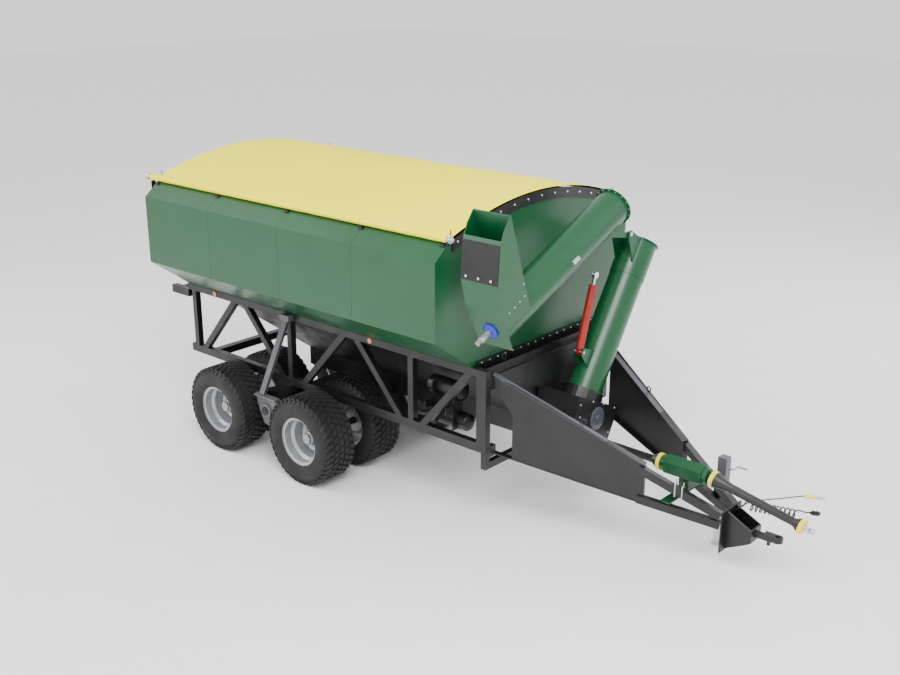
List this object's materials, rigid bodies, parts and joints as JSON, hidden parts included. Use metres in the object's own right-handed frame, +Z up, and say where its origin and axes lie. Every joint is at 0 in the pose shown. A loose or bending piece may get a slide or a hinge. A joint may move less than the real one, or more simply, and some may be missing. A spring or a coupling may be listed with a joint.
{
  "type": "grain cart",
  "caption": "Tandem walking-beam grain cart with lattice side frames, green hopper, yellow roll tarp, folding unloading auger and A-frame drawbar.",
  "frame": {"origin": "on the ground, under the middle of the overall length and width", "axes": "+X towards the tractor hitch, +Y to the right-hand side seen from behind looking back, +Z up"},
  "size_m": [8.9002, 3.47, 3.7773],
  "materials": {
    "green_paint": "semi-gloss dark green enamel",
    "black_paint": "satin black enamel",
    "grey_paint": "satin grey enamel",
    "blue_paint": "blue bearing enamel",
    "red_paint": "dark red enamel",
    "rim_silver": "silver wheel paint",
    "zinc_steel": "zinc plated steel",
    "screw_steel": "grain-worn bare steel",
    "rod_chrome": "hard chrome",
    "tyre_rubber": "black ribbed tyre rubber",
    "flap_rubber": "smooth black sheet rubber",
    "tarp_cloth": "yellow coated tarpaulin",
    "guard_plastic": "black moulded shaft guard",
    "cord_black": "black cable jacket",
    "yellow_plastic": "yellow moulded plastic"
  },
  "bodies": {
    "frame": {"air_tanks": "black_paint", "auger_base": "black_paint", "axle_frame": "black_paint", "brake_coupler": "yellow_plastic", "brake_hose": "cord_black", "curly_cord": "cord_black", "drawbar_side_left": "black_paint", "drawbar_side_right": "black_paint", "drive_support": "green_paint", "front_bow": "black_paint", "front_cross_frame": "black_paint", "hitch_head": "black_paint", "hopper_floor": "black_paint", "hopper_front_wall": "green_paint", "hopper_rear_wall": "green_paint", "hopper_side_left": "green_paint", "hopper_side_right": "green_paint", "jack_sleeve": "grey_paint", "lower_auger_tube": "green_paint", "outrigger_left": "grey_paint", "outrigger_right": "grey_paint", "rear_bow": "black_paint", "rear_cross_beam": "black_paint", "rear_light_bar": "black_paint", "tarp": "tarp_cloth", "tarp_roll": "tarp_cloth", "truss_left": "black_paint", "truss_right": "black_paint"},
    "walking_beam_left": {"walking_beam_left": "black_paint"},
    "walking_beam_right": {"walking_beam_right": "black_paint"},
    "wheel_left_rear_outer": {"tyre_left_rear_outer": "tyre_rubber", "rim_left_rear_outer": "rim_silver"},
    "wheel_left_rear_inner": {"tyre_left_rear_inner": "tyre_rubber", "rim_left_rear_inner": "rim_silver"},
    "wheel_left_front_outer": {"tyre_left_front_outer": "tyre_rubber", "rim_left_front_outer": "rim_silver"},
    "wheel_left_front_inner": {"tyre_left_front_inner": "tyre_rubber", "rim_left_front_inner": "rim_silver"},
    "wheel_right_rear_outer": {"tyre_right_rear_outer": "tyre_rubber", "rim_right_rear_outer": "rim_silver"},
    "wheel_right_rear_inner": {"tyre_right_rear_inner": "tyre_rubber", "rim_right_rear_inner": "rim_silver"},
    "wheel_right_front_outer": {"tyre_right_front_outer": "tyre_rubber", "rim_right_front_outer": "rim_silver"},
    "wheel_right_front_inner": {"tyre_right_front_inner": "tyre_rubber", "rim_right_front_inner": "rim_silver"},
    "upper_auger": {"upper_auger_tube": "green_paint", "spout": "green_paint", "spout_flap": "flap_rubber", "auger_end_bearing": "blue_paint"},
    "upper_screw": {"upper_auger_screw": "screw_steel"},
    "lower_screw": {"lower_auger_screw": "screw_steel"},
    "floor_screw": {"floor_screw": "screw_steel"},
    "ram_barrel": {"fold_ram_barrel": "red_paint"},
    "ram_rod": {"fold_ram_rod": "rod_chrome"},
    "rear_drive": {"rear_drive_shaft": "guard_plastic"},
    "front_drive": {"front_drive_shaft": "guard_plastic"},
    "jack_leg": {"jack_leg": "zinc_steel"},
    "jack_crank": {"jack_crank": "zinc_steel"},
    "hitch_eye": {"hitch_eye": "black_paint"}
  },
  "joints": [
    {"name": "bogie_tilt_left", "type": "hinge", "parent": "frame", "child": "walking_beam_left", "pos_m": [-2.139, -1.071, 0.7], "axis": [0, 1, 0], "range_deg": [-8, 8]},
    {"name": "wheel_spin_left_rear_outer", "type": "hinge", "parent": "walking_beam_left", "child": "wheel_left_rear_outer", "pos_m": [-2.927, -1.463, 0.557], "axis": [0, 1, 0], "continuous": true},
    {"name": "wheel_spin_left_rear_inner", "type": "hinge", "parent": "walking_beam_left", "child": "wheel_left_rear_inner", "pos_m": [-2.927, -0.679, 0.557], "axis": [0, 1, 0], "continuous": true},
    {"name": "wheel_spin_left_front_outer", "type": "hinge", "parent": "walking_beam_left", "child": "wheel_left_front_outer", "pos_m": [-1.351, -1.463, 0.557], "axis": [0, 1, 0], "continuous": true},
    {"name": "wheel_spin_left_front_inner", "type": "hinge", "parent": "walking_beam_left", "child": "wheel_left_front_inner", "pos_m": [-1.351, -0.679, 0.557], "axis": [0, 1, 0], "continuous": true},
    {"name": "bogie_tilt_right", "type": "hinge", "parent": "frame", "child": "walking_beam_right", "pos_m": [-2.139, 1.071, 0.7], "axis": [0, 1, 0], "range_deg": [-8, 8]},
    {"name": "wheel_spin_right_rear_outer", "type": "hinge", "parent": "walking_beam_right", "child": "wheel_right_rear_outer", "pos_m": [-2.927, 1.463, 0.557], "axis": [0, 1, 0], "continuous": true},
    {"name": "wheel_spin_right_rear_inner", "type": "hinge", "parent": "walking_beam_right", "child": "wheel_right_rear_inner", "pos_m": [-2.927, 0.679, 0.557], "axis": [0, 1, 0], "continuous": true},
    {"name": "wheel_spin_right_front_outer", "type": "hinge", "parent": "walking_beam_right", "child": "wheel_right_front_outer", "pos_m": [-1.351, 1.463, 0.557], "axis": [0, 1, 0], "continuous": true},
    {"name": "wheel_spin_right_front_inner", "type": "hinge", "parent": "walking_beam_right", "child": "wheel_right_front_inner", "pos_m": [-1.351, 0.679, 0.557], "axis": [0, 1, 0], "continuous": true},
    {"name": "auger_fold", "type": "hinge", "parent": "frame", "child": "upper_auger", "pos_m": [1.5, 0.82333, 3.15406], "axis": [1, 0, 0], "range_deg": [-147, 0]},
    {"name": "ram_tilt", "type": "hinge", "parent": "frame", "child": "ram_barrel", "pos_m": [1.5, 0.05444, 1.92677], "axis": [1, 0, 0], "range_deg": [0, 5]},
    {"name": "ram_extend", "type": "slide", "parent": "ram_barrel", "child": "ram_rod", "axis": [0, 0.2915, 0.9566], "range_m": [0, 0.6]},
    {"name": "floor_screw_spin", "type": "hinge", "parent": "frame", "child": "floor_screw", "pos_m": [0, 0, 0.958], "axis": [1, 0, 0], "continuous": true},
    {"name": "lower_screw_spin", "type": "hinge", "parent": "frame", "child": "lower_screw", "pos_m": [1.5, 0.54662, 1.99838], "axis": [0, 0.5466, 0.8374], "continuous": true},
    {"name": "upper_screw_spin", "type": "hinge", "parent": "upper_auger", "child": "upper_screw", "pos_m": [1.5, 0.60663, 3.49559], "axis": [0, -0.9145, -0.4046], "continuous": true},
    {"name": "rear_drive_spin", "type": "hinge", "parent": "frame", "child": "rear_drive", "pos_m": [1.842, 0, 0.958], "axis": [1, 0, -0.0035], "continuous": true},
    {"name": "front_drive_spin", "type": "hinge", "parent": "frame", "child": "front_drive", "pos_m": [3.272, 0, 0.955], "axis": [0.9803, 0, -0.1977], "continuous": true},
    {"name": "jack_extend", "type": "slide", "parent": "frame", "child": "jack_leg", "axis": [0, 0, 1], "range_m": [0, 0.3]},
    {"name": "jack_crank_turn", "type": "hinge", "parent": "frame", "child": "jack_crank", "pos_m": [3.252, 0.405, 0.915], "axis": [1, 0, 0], "continuous": true},
    {"name": "hitch_swivel", "type": "hinge", "parent": "frame", "child": "hitch_eye", "pos_m": [3.854, 0, 0.496], "axis": [1, 0, 0], "range_deg": [-20, 20]}
  ],
  "couplings": [
    {"joint": "ram_tilt", "follows": "auger_fold", "ratio": -0.03401},
    {"joint": "ram_extend", "follows": "auger_fold", "m_per_rad": -0.23336},
    {"joint": "rear_drive_spin", "follows": "front_drive_spin", "ratio": 1},
    {"joint": "floor_screw_spin", "follows": "front_drive_spin", "ratio": 1},
    {"joint": "lower_screw_spin", "follows": "front_drive_spin", "ratio": 1},
    {"joint": "upper_screw_spin", "follows": "front_drive_spin", "ratio": 1}
  ]
}
